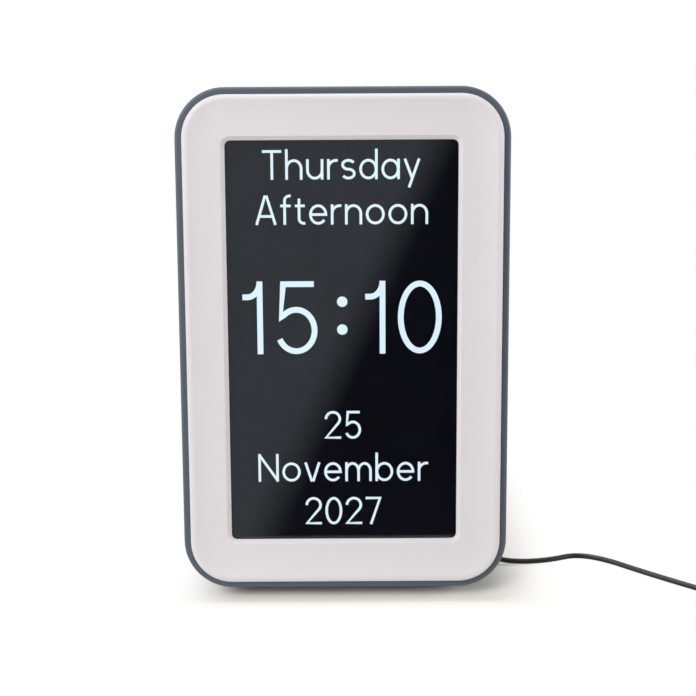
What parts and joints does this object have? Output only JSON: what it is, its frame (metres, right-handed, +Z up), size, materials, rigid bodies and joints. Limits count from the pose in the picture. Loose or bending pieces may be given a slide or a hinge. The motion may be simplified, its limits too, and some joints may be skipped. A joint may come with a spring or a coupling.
{
  "type": "dementia day clock",
  "caption": "Portrait display clock that shows the day, time and date, with a dished bezel, a fold-out stand, wall keyholes and a supply lead.",
  "frame": {"origin": "middle of the rubber foot's underside, on the table", "axes": "+Z up; the display faces -Y and leans back from it; +X to the viewer's right"},
  "size_m": [0.2717, 0.118, 0.1953],
  "materials": {
    "housing": "fine satin",
    "bezel": "semi-gloss",
    "lens": "polished",
    "tape": "matt",
    "panel": "polished",
    "module_plastic": "matt",
    "sheet": "matt",
    "clear_plastic": "polished",
    "steel": "plain",
    "screw": "plated",
    "board": "satin",
    "chip": "matt",
    "connector": "matt",
    "cell_steel": "bright",
    "ribbon": "semi-gloss",
    "button": "satin",
    "power_key": "satin",
    "foam": "open foam",
    "cone": "paper",
    "rubber": "matt",
    "contact": "nickel",
    "lead": "satin",
    "cord": "satin",
    "tie": "satin",
    "adapter": "fine grain"
  },
  "bodies": {
    "case": {"adapter_case": "adapter", "adapter_nose": "adapter", "adapter_pins": "contact", "adapter_relief_boot": "cord", "base_foot": "rubber", "board_inductors": "chip", "board_screws": "screw", "case_screws": "screw", "cell_holder": "connector", "coil_tie": "tie", "coin_cell": "cell_steel", "cord_coil": "cord", "cord_tail": "cord", "diffuser_sheet": "sheet", "display_cell": "panel", "display_lens": "lens", "display_ribbon": "ribbon", "front_bezel": "bezel", "key_board": "board", "key_board_screws": "screw", "key_ribbon": "ribbon", "key_switches": "chip", "lead_connectors": "connector", "lens_tape": "tape", "light_guide": "clear_plastic", "light_strip": "board", "main_board": "board", "memory_chips": "chip", "module_frame": "module_plastic", "module_tray": "steel", "panel_clips": "steel", "panel_screws": "screw", "plug_moulding": "cord", "plug_sleeve": "contact", "power_board": "board", "power_board_screws": "screw", "power_lead": "lead", "processor_chip": "chip", "rear_housing": "housing", "reflector_sheet": "sheet", "ribbon_connector": "connector", "socket_contact": "contact", "speaker_cone": "cone", "speaker_frame": "steel", "speaker_lead": "lead", "speaker_magnet": "steel", "speaker_seal_ring": "foam", "stand_pins": "steel", "supply_cord": "cord", "supply_socket": "connector"},
    "stand": {"stand_leg": "housing", "stand_pad": "rubber"},
    "menu_key": {"menu_button": "button"},
    "down_key": {"down_button": "button"},
    "enter_key": {"enter_button": "button"},
    "up_key": {"up_button": "button"},
    "power_key": {"power_button": "power_key"}
  },
  "joints": [
    {"name": "stand_hinge", "type": "hinge", "parent": "case", "child": "stand", "pos_m": [0, 0.00924, 0.02723], "axis": [1, 0, 0], "range_deg": [0, 107]},
    {"name": "menu_press", "type": "slide", "parent": "case", "child": "menu_key", "axis": [0, -0.9848, 0.1736], "range_m": [0, 0.0005], "stiffness_N_per_m": 500, "springref_m": -0.001},
    {"name": "down_press", "type": "slide", "parent": "case", "child": "down_key", "axis": [0, -0.9848, 0.1736], "range_m": [0, 0.0005], "stiffness_N_per_m": 500, "springref_m": -0.001},
    {"name": "enter_press", "type": "slide", "parent": "case", "child": "enter_key", "axis": [0, -0.9848, 0.1736], "range_m": [0, 0.0005], "stiffness_N_per_m": 500, "springref_m": -0.001},
    {"name": "up_press", "type": "slide", "parent": "case", "child": "up_key", "axis": [0, -0.9848, 0.1736], "range_m": [0, 0.0005], "stiffness_N_per_m": 500, "springref_m": -0.001},
    {"name": "power_press", "type": "slide", "parent": "case", "child": "power_key", "axis": [0, -0.9848, 0.1736], "range_m": [0, 0.0005], "stiffness_N_per_m": 500, "springref_m": -0.001}
  ]
}
